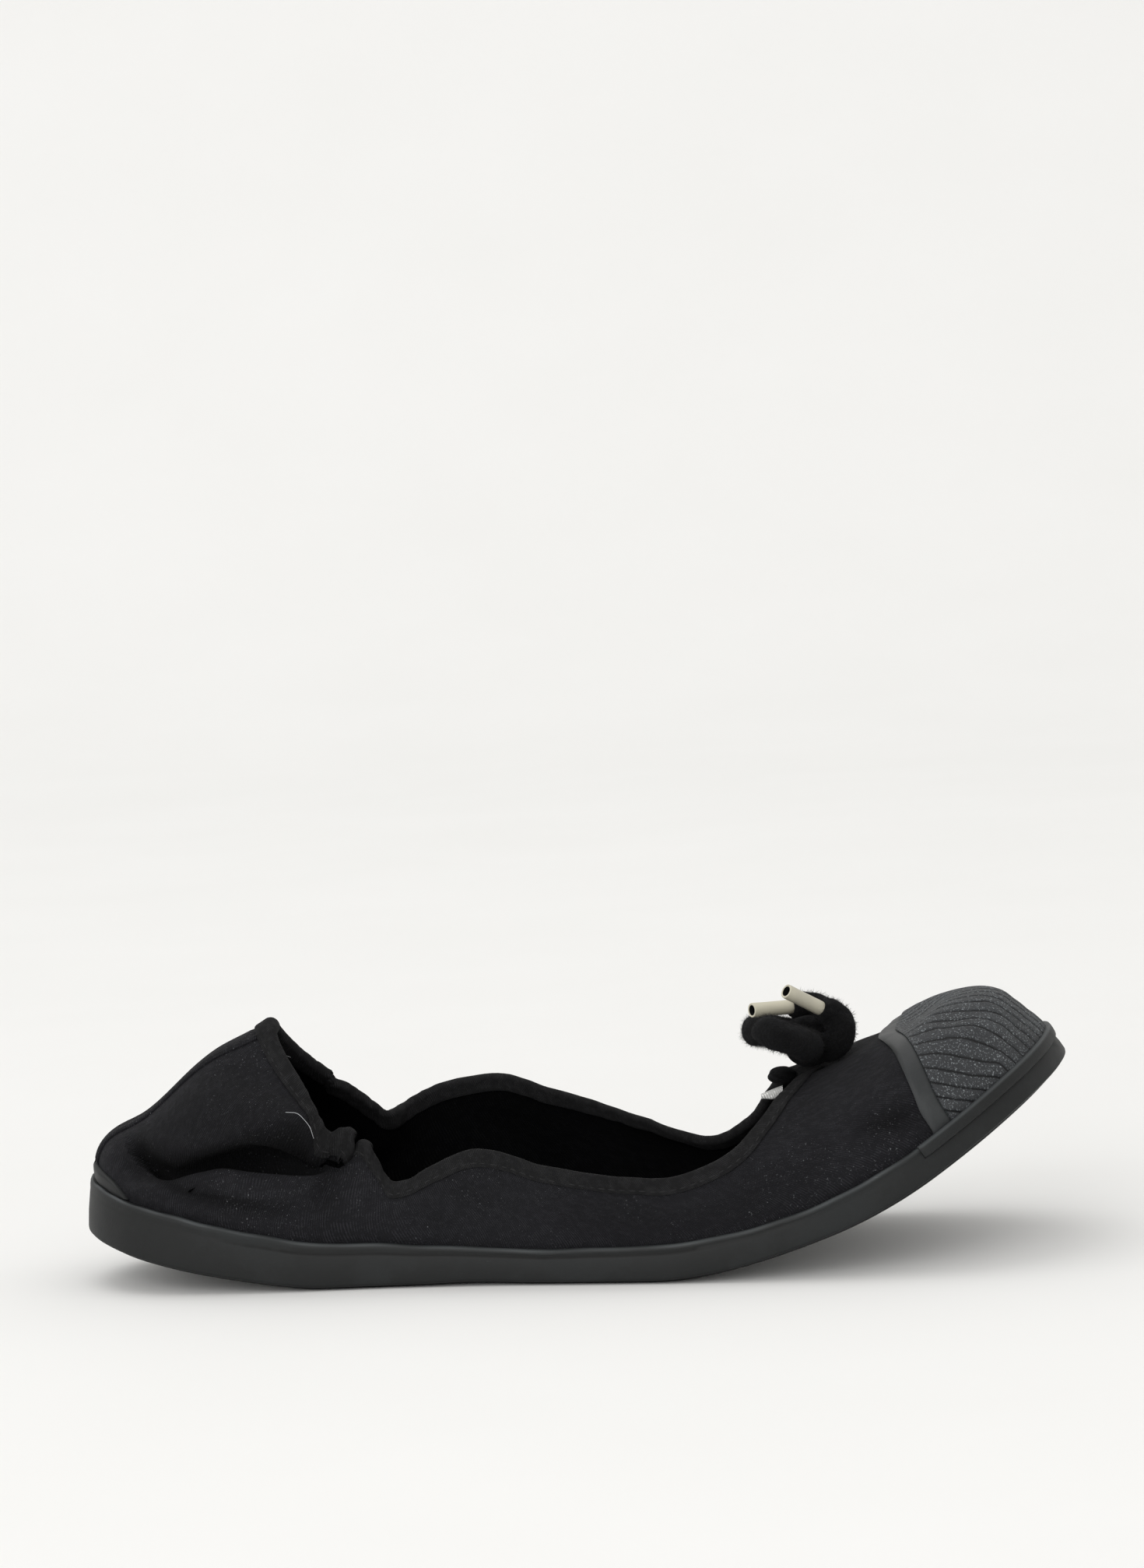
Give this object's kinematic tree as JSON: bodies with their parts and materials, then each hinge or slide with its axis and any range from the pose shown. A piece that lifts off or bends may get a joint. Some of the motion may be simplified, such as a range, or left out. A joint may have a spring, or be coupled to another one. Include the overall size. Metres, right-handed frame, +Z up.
{
  "type": "ballet flat",
  "caption": "Right ballet flat with a hollow canvas upper, elasticated bound collar, cord bow, ribbed rubber toe cap and a flexible rubber sole with a foxing tape.",
  "frame": {"origin": "on the floor, under the middle of the heel's flat spot, on the sole's centre line", "axes": "+X to the toe, +Y to the shoe's medial side, +Z up; the shoe stands on its sole as it does empty, its heel and forefoot spots at Z = 0"},
  "size_m": [0.2357, 0.0857, 0.0635],
  "materials": {
    "canvas": "near-black cotton canvas, fine twill, matt, a little linty",
    "binding_tape": "near-black woven binding tape, matt",
    "sole_rubber": "charcoal rubber, smooth and satin, with light scuffs",
    "cap_rubber": "charcoal rubber, fine-grained and ribbed, matt",
    "band_rubber": "grey rubber, smooth and satin",
    "footbed": "black woven sock lining, matt",
    "bow_cord": "black fuzzy cord, matt",
    "aglet_plastic": "off-white plastic, satin",
    "tab_fabric": "off-white woven tape, matt"
  },
  "bodies": {
    "root": {"outsole": "sole_rubber", "foxing": "sole_rubber", "toe_bumper": "sole_rubber", "heel_tab": "sole_rubber", "insole": "footbed", "upper": "canvas", "collar_binding": "binding_tape", "back_strip": "canvas", "toe_cap": "cap_rubber", "cap_band": "band_rubber", "bow_knot": "bow_cord", "bow_loop_near": "bow_cord", "bow_loop_far": "bow_cord", "bow_tail_near": "bow_cord", "bow_tail_far": "bow_cord", "bow_aglet_near": "aglet_plastic", "bow_aglet_far": "aglet_plastic", "drawcord_end": "bow_cord", "inner_tab": "tab_fabric"}
  },
  "joints": []
}
